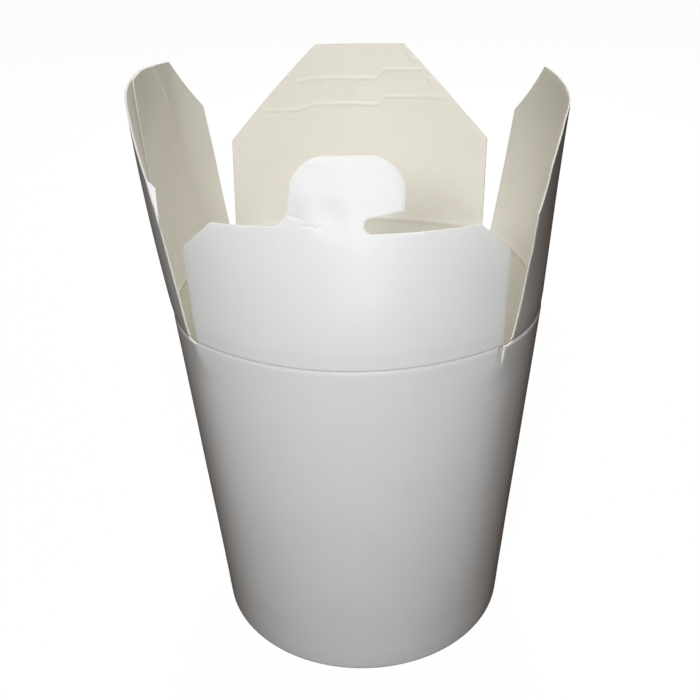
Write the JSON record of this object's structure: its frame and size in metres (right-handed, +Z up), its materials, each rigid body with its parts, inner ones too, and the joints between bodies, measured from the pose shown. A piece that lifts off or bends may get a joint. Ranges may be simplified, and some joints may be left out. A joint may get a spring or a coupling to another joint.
{
  "type": "kebab box",
  "caption": "Round-based paperboard takeaway food box, open and empty, with creased flaps that fold in over its mouth and a hooked closing tongue.",
  "frame": {"origin": "middle of the open box's bounding box, on the surface it stands on", "axes": "+Z up the cup; -Y is the front, where the flap with the hooked tongue is; +X to the right seen from the front"},
  "size_m": [0.106, 0.1038, 0.1568],
  "materials": {
    "outer_board": "smooth white clay-coated paperboard, satin",
    "inner_board": "cream film-coated paperboard, satin"
  },
  "bodies": {
    "cup": {"wall": "outer_board", "base": "inner_board"},
    "front_flap": {"flap_front": "outer_board"},
    "back_flap": {"flap_back": "inner_board"},
    "left_flap": {"flap_left": "inner_board"},
    "right_flap": {"flap_right": "inner_board"}
  },
  "joints": [
    {"name": "front_crease", "type": "hinge", "parent": "cup", "child": "front_flap", "pos_m": [0.0013, -0.0389, 0.10275], "axis": [-1, 0, 0], "range_deg": [0, 40]},
    {"name": "back_crease", "type": "hinge", "parent": "cup", "child": "back_flap", "pos_m": [0.0013, 0.0339, 0.10275], "axis": [1, 0, 0], "range_deg": [0, 44]},
    {"name": "left_crease", "type": "hinge", "parent": "cup", "child": "left_flap", "pos_m": [-0.0351, -0.0025, 0.10275], "axis": [0, 1, 0], "range_deg": [0, 95]},
    {"name": "right_crease", "type": "hinge", "parent": "cup", "child": "right_flap", "pos_m": [0.0377, -0.0025, 0.10275], "axis": [0, -1, 0], "range_deg": [0, 82]}
  ]
}
